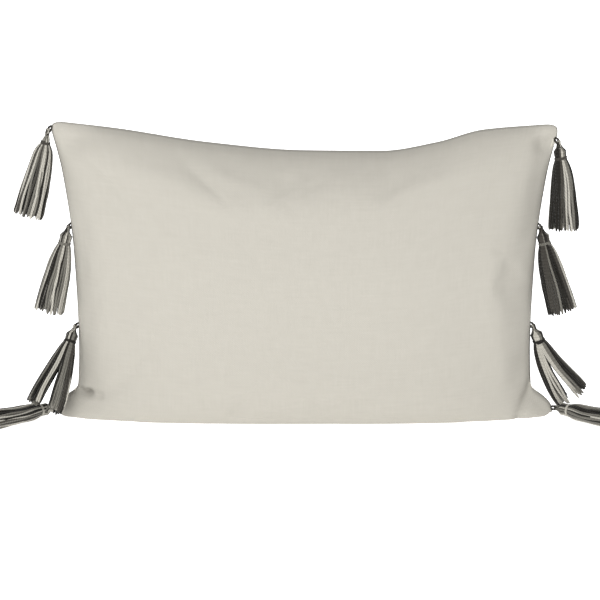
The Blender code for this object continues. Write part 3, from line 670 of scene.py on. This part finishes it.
broad = maths(bands_tree, "MAXIMUM", broad, within(from_middle, 0.1235, 0.0050))
rim_block = within(folded(stepped[0], 0.0254), 0.0, 0.0080)
rim = maths(bands_tree, "MULTIPLY", rim_block, within(from_middle, 0.1430, 0.0098))
dark = diamonds
for mask in (lines, zigzag, broad, dashes, rim):
    dark = maths(bands_tree, "MAXIMUM", dark, mask)
bands_tree.links.new(dark, result["Dark"])


# %% [markdown]
# The bands choose between cream and near black, and each yarn's shade varies a little.

# %% Finish: black and cream weave
def banded_colour(tree, place):
    """Cream with near-black bands. Each yarn is a slightly different shade."""
    dark = use_group(tree, bands_tree, Place=place)["Dark"]
    yarns = add_node(tree, "ShaderNodeMapping", Vector=place, Scale=(60, 620, 1)).outputs[0]
    heather = add_node(tree, "ShaderNodeTexNoise", Vector=yarns, Scale=1.0, Detail=2.0).outputs["Fac"]
    mixed = add_node(tree, "ShaderNodeMix", {"data_type": "RGBA"}, i0=maths(tree, "MULTIPLY", dark, 0.97))
    black = add_node(tree, "ShaderNodeValToRGB", i0=heather)
    black.color_ramp.elements[0].position, black.color_ramp.elements[1].position = 0.35, 0.72
    black.color_ramp.elements[0].color = (0.012, 0.011, 0.010, 1)
    black.color_ramp.elements[1].color = (0.075, 0.070, 0.062, 1)
    tree.links.new(black.outputs["Color"], mixed.inputs[7])
    mixed.inputs[6].default_value = (0.46, 0.435, 0.375, 1)
    return mixed.outputs[2]


banded = cloth_material("black and cream weave", (0.3, 0.3, 0.3), 620.0, 0.8, 0.9, banded_colour)
front_panel.data.materials.append(banded)

# %% [markdown]
# ## Yarn
# Each tassel is a hank of thick, soft yarn: a bundle of yarns folded in half over a cord loop and tied
# round below the fold. A folded yarn is two tubes. One runs from a cut end up through the neck and over
# the loop, and the other hangs down from there. The map runs round and along each tube, and a second
# shader group reads that to twist two plies round each other.

# %% Shader group: twisted yarn
yarn_tree, given, result = new_group(
    "twisted yarn",
    [("Place", "Vector", None), ("Pitch", "Float", 0.006), ("Fuzz", "Float", 0.5)],
    [("Height", "Float"), ("Shade", "Float")],
)
place = add_node(yarn_tree, "ShaderNodeSeparateXYZ", Vector=given["Place"]).outputs
wound = maths(yarn_tree, "ADD", place["X"], maths(yarn_tree, "DIVIDE", place["Y"], given["Pitch"]))
ply = maths(yarn_tree, "ABSOLUTE", maths(yarn_tree, "SINE", maths(yarn_tree, "MULTIPLY", wound, math.tau)))
around = maths(yarn_tree, "MULTIPLY", wound, 9.0)
fibres = add_node(yarn_tree, "ShaderNodeCombineXYZ", X=around, Y=place["Y"]).outputs[0]
fibres = add_node(yarn_tree, "ShaderNodeMapping", Vector=fibres, Scale=(1, 160, 1)).outputs[0]
fibres = add_node(yarn_tree, "ShaderNodeTexNoise", Vector=fibres, Scale=1.5, Detail=3.0).outputs["Fac"]
fuzz = maths(yarn_tree, "MULTIPLY", maths(yarn_tree, "SUBTRACT", fibres, 0.5), given["Fuzz"])
yarn_tree.links.new(maths(yarn_tree, "ADD", ply, fuzz), result["Height"])
# painted shade: the colour is darker in the groove between the two plies and lighter on their crowns, with
# the fibres' own random tone added
shade = maths(yarn_tree, "MULTIPLY_ADD", ply, 0.30, maths(yarn_tree, "ADD", fuzz, -0.18))
yarn_tree.links.new(shade, result["Shade"])


# %% [markdown]
# Four yarns share one recipe and differ only in colour.

# %% Finishes: black, grey and pale yarn
def yarn_material(name, colour, pitch=0.0065):
    made = new_material(name, colour, 0.9)
    tree = made.node_tree
    shader = tree.nodes["Principled BSDF"]
    place = add_node(tree, "ShaderNodeUVMap").outputs["UV"]
    twist = use_group(tree, yarn_tree, Place=place, Pitch=pitch, Fuzz=0.5)
    tint = add_node(tree, "ShaderNodeVectorMath", {"operation": "SCALE"}, i0=colour)
    tree.links.new(maths(tree, "ADD", twist["Shade"], 1.0), tint.inputs["Scale"])
    tree.links.new(tint.outputs["Vector"], shader.inputs["Base Color"])
    relief = add_node(tree, "ShaderNodeBump", Height=twist["Height"], Strength=0.7, Distance=0.0004)
    tree.links.new(relief.outputs["Normal"], shader.inputs["Normal"])
    shader.inputs["Sheen Weight"].default_value = 0.12
    shader.inputs["Sheen Roughness"].default_value = 0.4
    shader.inputs["Specular IOR Level"].default_value = 0.15
    return made


YARNS = [
    yarn_material("black yarn", (0.010, 0.009, 0.007)),
    yarn_material("dark grey yarn", (0.034, 0.031, 0.026)),
    yarn_material("grey yarn", (0.105, 0.100, 0.086)),
    yarn_material("pale yarn", (0.295, 0.282, 0.248)),
]
BLACK, DARK_GREY, GREY, PALE = range(4)

# %% [markdown]
# ## How a tassel hangs
# A tassel's place comes from the seam: where it is sewn, and how far it leans. The line down its middle
# starts at the loop, follows the lean and lies along the floor where it reaches it. The width changes
# along that line: a head where the yarns bow out over the loop, a tight neck, and a skirt that spreads.

# %% Where each tassel is sewn
LEFT, RIGHT = -1, 1
LOOP_RADIUS, LOOP_IN_SEAM = 0.0030, 0.0007
TASSEL_LENGTH, NECK_AT = 0.092, 0.019
FLOOR_LEAN = 60  # degrees: a head that leans more than this lies on the floor
# (distance from the seam, half width)
PROFILE = (
    (0.0, 0.0026), (0.007, 0.0052), (0.0125, 0.0068), (0.0165, 0.0062), (NECK_AT, 0.0054),
    (0.0215, 0.0066), (0.030, 0.0094), (0.048, 0.0122), (0.070, 0.0140), (TASSEL_LENGTH, 0.0151),
)
SLIM_PROFILE = (
    (0.0, 0.0024), (0.007, 0.0034), (0.0125, 0.0039), (0.0165, 0.0044), (NECK_AT, 0.0062),
    (0.0215, 0.0082), (0.030, 0.0105), (0.048, 0.0126), (0.070, 0.0142), (TASSEL_LENGTH, 0.0151),
)
# Side and share of the height, angles of loop, head and tip from straight down, and the turn off the seam
TASSELS = {
    "left_1": (LEFT, 0.975, 36, 12, 17, 0),
    "left_2": (LEFT, 0.645, 38, 14, 14, 0),
    "left_3": (LEFT, 0.300, 46, 28, 36, 50),
    "left_4": (LEFT, 0.006, 88, 90, 92, 43),
    "right_1": (RIGHT, 0.945, 34, 9, 0, 0),
    "right_2": (RIGHT, 0.650, 36, 14, 17, 0),
    "right_3": (RIGHT, 0.305, 42, 20, 41, -20),
    "right_4": (RIGHT, 0.006, 88, 90, 92, 43),
}


def leaning(angle, heading):
    """A direction at this angle from straight down, towards the heading."""
    angle = math.radians(angle)
    return heading * math.sin(angle) + Vector((0, 0, -math.cos(angle)))


def tassel_frame(name):
    """Where the tassel's loop and head are, and which way they point."""
    side, up, loop_angle, head_angle, tip_angle, turn = TASSELS[name]
    low, high = bottom_edge(side), top_edge(side).item()
    seam = Vector((side_edge(side, up).item(), 0, low + (high - low) * up))
    turn = math.radians(turn)
    heading = Vector((side * math.cos(turn), -math.sin(turn), 0))
    loop = leaning(loop_angle, Vector((side, 0, 0)))
    pivot = seam + loop * (2 * LOOP_RADIUS - LOOP_IN_SEAM)
    return {
        "loop": loop,
        "pivot": pivot,
        "heading": heading,
        "angles": (head_angle, tip_angle),
        "slim": name == "left_1",
    }


def skirt_radius(along, slim=False):
    """Half the tassel's width at this distance from the seam. A slim head has no bulge above its tie."""
    return smooth_through(SLIM_PROFILE if slim else PROFILE, along)


def tassel_line(frame, steps=72):
    """Distances along the tassel's middle line, its points, and its directions."""
    start = 2 * LOOP_RADIUS - LOOP_IN_SEAM
    along = np.linspace(start, TASSEL_LENGTH, steps + 1)
    head, tip = frame["angles"]
    low = 0.62 if head > FLOOR_LEAN else 0.82  # a tassel that lies on the floor spreads flat
    point, points, ways = frame["pivot"].copy(), [], []
    for i, distance in enumerate(along):
        share = (distance - start) / (TASSEL_LENGTH - start)
        way = leaning(head + (tip - head) * share, frame["heading"])
        if i:
            point = point + way * (along[1] - along[0])
            point.z = max(point.z, low * skirt_radius(distance, frame["slim"]).item() + 0.0003)
        points.append(point.copy())
        ways.append(way)
    return along, np.array(points), np.array(ways)


# %% [markdown]
# One function turns any list of strands into a mesh of tubes, so yarns, ties and loops share it.

# %% Tubes of yarn
def tube_mesh(name, strands, sides=7):
    """One mesh of many tubes. Each strand is (points, radius, finish); the map is (round, metres along)."""
    ring = np.arange(sides) / sides * math.tau
    points, faces, maps, finishes = [], [], [], []
    for line, radius, finish in strands:
        line = np.asarray(line, float)
        way = np.gradient(line, axis=0)
        way /= np.linalg.norm(way, axis=1)[:, None] + 1e-12
        side = np.cross(way[0], (0.31, 0.74, 0.6))
        sides_at = []
        for direction in way:  # carry one side vector down the strand, so that the tube never twists
            side = side - direction * side.dot(direction)
            side /= np.linalg.norm(side)
            sides_at.append(side)
        sides_at = np.array(sides_at)
        across = np.cross(way, sides_at)
        width = np.broadcast_to(radius, len(line)).copy()
        width[0], width[-1] = 0.6 * width[0], 0.6 * width[-1]
        wall = line[:, None] + width[:, None, None] * (
            np.cos(ring)[None, :, None] * sides_at[:, None] + np.sin(ring)[None, :, None] * across[:, None]
        )
        first = len(points)
        points.extend(wall.reshape(-1, 3))
        run = np.concatenate([[0], np.cumsum(np.linalg.norm(np.diff(line, axis=0), axis=1))])
        for k in range(len(line) - 1):
            for s in range(sides):
                t = (s + 1) % sides
                a, b = first + k * sides, first + (k + 1) * sides
                faces.append((a + s, a + t, b + t, b + s))
                maps.extend([(s / sides, run[k]), ((s + 1) / sides, run[k]), ((s + 1) / sides, run[k + 1]),
                             (s / sides, run[k + 1])])
                finishes.append(finish)
        for k, turn in ((0, -1), (len(line) - 1, 1)):
            cap = [first + k * sides + s for s in range(sides)][::turn]
            faces.append(tuple(cap))
            maps.extend([(0.5, run[k])] * sides)
            finishes.append(finish)
    mesh = bpy.data.meshes.new(name)
    mesh.from_pydata([tuple(p) for p in points], [], faces)
    layer = mesh.uv_layers.new(name="yarn")
    layer.data.foreach_set("uv", np.array(maps, float).ravel())
    mesh.polygons.foreach_set("material_index", finishes)
    mesh.polygons.foreach_set("use_smooth", [len(face) == 4 for face in faces])
    mesh.update()
    return mesh


def new_piece(name, mesh, materials, body, slot, *nodes):
    """An object that rides on a body, in place of some of the frame's nodes."""
    piece = bpy.data.objects.new(name, mesh)
    bpy.context.scene.collection.objects.link(piece)
    for material in materials:
        mesh.materials.append(material)
    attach(piece, body)
    if nodes:
        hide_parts(*nodes)
    return piece


# %% [markdown]
# The yarns lie in three layers. A few random numbers keep any two from being alike.

# %% Lay up a tassel's yarns
YARN_RADIUS = 0.00115
LAYERS = ((19, 1.0), (11, 0.68), (6, 0.32))  # pairs of hanging ends, and how far out they lie


def eased(value):
    """0 below 0 and 1 above 1, with a smooth step between."""
    value = min(1.0, max(0.0, value))
    return value * value * (3 - 2 * value)


def bunched_colours(rng, count):
    """A finish for each yarn. One colour often runs over two yarns next to each other, as it is wound."""
    colours = []
    while len(colours) < count:
        colours += [int(rng.choice(4, p=(0.34, 0.15, 0.23, 0.28)))] * int(rng.integers(1, 3))
    return colours[:count]


def tassel_yarns(name, seed):
    """Every yarn of one tassel, as (points, radii, finish)."""
    rng = np.random.default_rng(seed)
    place = tassel_frame(name)
    along, middle, ways = tassel_line(place)
    side_way = np.array([0.0, 1.0, 0.0])
    lying = place["angles"][0] > FLOOR_LEAN
    wide, tall = (1.20, 0.60) if lying else (1.0, 1.0)
    parting = {"left_3": 0.0036, "right_3": 0.0030}.get(name, 0.0)
    yarns = []
    for pairs, depth in LAYERS:
        finishes = bunched_colours(rng, 2 * pairs)
        for k in range(pairs):
            fold = 0.0010 + 0.0012 * rng.random()
            shelf = (rng.random() - 0.5) * 0.0026
            halves = []
            for half in (1, -1):
                turn = (k + 0.5 + 0.3 * (rng.random() - 0.5)) / pairs * math.pi
                finish = finishes[k if half > 0 else 2 * pairs - 1 - k]
                length = TASSEL_LENGTH - 0.0045 * rng.random() ** 2 - 0.002 * (1 - depth)
                phase, waves = rng.random() * math.tau, 1.2 + 1.6 * rng.random()
                stray = 0.0009 * rng.random()
                bunch = math.sin(turn * 5 * half + seed)
                line, widths = [], []
                for i, (distance, centre, way) in enumerate(zip(along, middle, ways)):
                    if distance > length:
                        break
                    if i % 3 and distance < length - (along[1] - along[0]):
                        continue
                    u_way = side_way - way * way.dot(side_way)
                    u_way /= np.linalg.norm(u_way)
                    v_way = np.cross(way, u_way)
                    loose = eased((distance - NECK_AT) / 0.030)
                    radius = (skirt_radius(distance, place["slim"]).item() - 0.9 * YARN_RADIUS) * depth
                    wander = 0.07 * math.sin(phase + waves * distance / 0.022)
                    angle = turn * half + loose * (0.10 * bunch + wander)
                    top = 1 - eased((distance - along[0]) / 0.0085)
                    spread = half * abs(math.sin(angle)) * radius * (1 - top) + half * fold * top
                    flat = math.cos(angle) * radius * (1 - top) + shelf * top
                    swing = stray * loose * math.sin(phase + waves * distance / 0.026)
                    spread = (spread + swing) * (1 + (wide - 1) * loose)
                    flat = (flat - swing) * (1 + (tall - 1) * loose)
                    open_up = parting * eased((distance - 0.030) / 0.055)
                    flat += open_up * (1.35 if math.cos(turn) > -0.05 else -0.9)
                    point = centre + u_way * spread + v_way * flat
                    point[2] = max(point[2], YARN_RADIUS * 1.05)
                    line.append(point)
                    at_head = eased((0.016 - distance) / 0.01)
                    widths.append(YARN_RADIUS * (0.74 + 0.30 * loose + 0.10 * at_head))
                halves.append((line, widths, finish))
            way = ways[0]
            v_way = np.cross(way, side_way)
            v_way /= np.linalg.norm(v_way)
            arc = []
            for step in range(1, 6):
                around = math.pi * step / 6
                bend = side_way * fold * math.cos(around) - way * fold * math.sin(around)
                arc.append(middle[0] - way * 0.0010 + v_way * shelf + bend)
            (down, down_widths, finish), (up_again, up_widths, other) = halves
            yarns.append((np.array(down[::-1] + arc), np.array(down_widths[::-1] + [0.00095] * 5), finish))
            yarns.append((np.array([arc[-1], *up_again]), np.array([0.00095, *up_widths]), other))
    return yarns


# %% [markdown]
# The tie is a short spiral round the neck, and the loop is two yarns twisted round a narrow ring.

# %% Tie and loop
def tie_yarn(name, seed):
    """Two turns of yarn round the neck, and a short end."""
    place = tassel_frame(name)
    along, middle, ways = tassel_line(place)
    tied_at = 0.0150 if place["slim"] else NECK_AT
    i = int(np.searchsorted(along, tied_at))
    way = ways[i]
    u_way = np.array([0.0, 1.0, 0.0]) - way * way[1]
    u_way /= np.linalg.norm(u_way)
    v_way = np.cross(way, u_way)
    points = []
    for step in range(52):
        angle = seed + step / 51 * math.tau * 2.15
        shift = (step / 51 - 0.5) * 0.0026
        ring = skirt_radius(tied_at + shift, place["slim"]).item() + 0.0001
        points.append(middle[i] + way * shift + (u_way * math.cos(angle) + v_way * math.sin(angle)) * ring)
    return [(points, 0.0008, (GREY, BLACK, PALE, DARK_GREY)[seed % 4])]


def loop_yarn(name, seed):
    """The cord loop: two yarns twisted together, in a long narrow ring that comes out of the seam."""
    place = tassel_frame(name)
    centre = np.array(place["pivot"] - place["loop"] * (LOOP_RADIUS + 0.0004))
    out = np.array(place["loop"])
    beside = np.cross(out, (0, 1, 0))
    through = np.array([0.0, 1.0, 0.0])
    strands = []
    for start in (0, math.pi):
        ring = []
        for step in range(41):
            angle, twist = step / 40 * math.tau, start + step / 40 * math.tau * 5
            middle = centre + out * (LOOP_RADIUS + 0.0006) * math.cos(angle)
            middle = middle + beside * 0.0016 * math.sin(angle)
            outward = out * math.cos(angle) + beside * math.sin(angle)
            ring.append(middle + (outward * math.cos(twist) + through * math.sin(twist)) * 0.0005)
        strands.append((ring, 0.00078, BLACK if start else DARK_GREY))
    return strands


# %% [markdown]
# The seed is the tassel's number, so the tassels differ but come out the same on every run.

# %% Make the tassels
for seed, name in enumerate(TASSELS, start=3):
    body = f"tassel_{name}"
    yarns = tube_mesh(f"{body}_hank", tassel_yarns(name, seed))
    new_piece(f"{body}_hank", yarns, YARNS, body, "mixed_yarn", f"{body}_yarn")
    tie = tube_mesh(f"{body}_wrap", tie_yarn(name, seed))
    new_piece(f"{body}_wrap", tie, YARNS, body, "mixed_yarn", f"{body}_tie")
    loop = tube_mesh(f"{body}_loop", loop_yarn(name, seed))
    new_piece(f"{body}_loop", loop, YARNS, f"{body}_hanger", "cream_thread", f"{body}_hanger")
print("each tassel:", len(yarns.polygons), "faces")

# %% [markdown]
# ## Stitching, zip and insert
# The seam's thread, the nylon zip in the bottom seam and its metal parts keep the engineering model's
# own solids. Here they only get a finish, and so do the insert's ticking and fibre.

# %% Finishes for the small parts
thread_material = yarn_material("cream thread", (0.60, 0.565, 0.47), pitch=0.0015)


def plain_finish(name, colour, roughness, metallic=0.0, grain=900.0, bump=0.15):
    """Metal or plastic, with a fine grain in its roughness and its surface."""
    made = new_material(name, colour, roughness)
    tree = made.node_tree
    shader = tree.nodes["Principled BSDF"]
    place = add_node(tree, "ShaderNodeTexCoord").outputs["Object"]
    grit = add_node(tree, "ShaderNodeTexNoise", Vector=place, Scale=grain, Detail=3.0).outputs["Fac"]
    tree.links.new(maths(tree, "MULTIPLY_ADD", grit, 0.2, roughness - 0.1), shader.inputs["Roughness"])
    relief = add_node(tree, "ShaderNodeBump", Height=grit, Strength=bump, Distance=0.0001)
    tree.links.new(relief.outputs["Normal"], shader.inputs["Normal"])
    shader.inputs["Metallic"].default_value = metallic
    return made


nylon = plain_finish("cream nylon", (0.66, 0.63, 0.54), 0.45)
nickel = plain_finish("nickel", (0.62, 0.61, 0.59), 0.3, metallic=1.0, grain=500.0, bump=0.1)
fibre = plain_finish("white fibre", (0.85, 0.85, 0.83), 0.95, grain=400.0, bump=0.8)
ticking = plain_finish("white ticking", (0.80, 0.80, 0.77), 0.9, grain=1200.0, bump=0.3)
FINISHES = {
    "cover_seam_thread": thread_material,
    "insert_seam_thread": thread_material,
    **dict.fromkeys(("zip_tape_back", "zip_tape_front", "zip_coil_back", "zip_coil_front"), nylon),
    **dict.fromkeys(("zip_stop_left", "zip_stop_right", "zip_slider", "zip_pull"), nickel),
}
for node, finish in FINISHES.items():
    frame["nodes"][node].material_slots[0].material = finish
insert_back.data.materials.append(ticking)
insert_front.data.materials.append(ticking)
insert_fibre.data.materials.append(fibre)
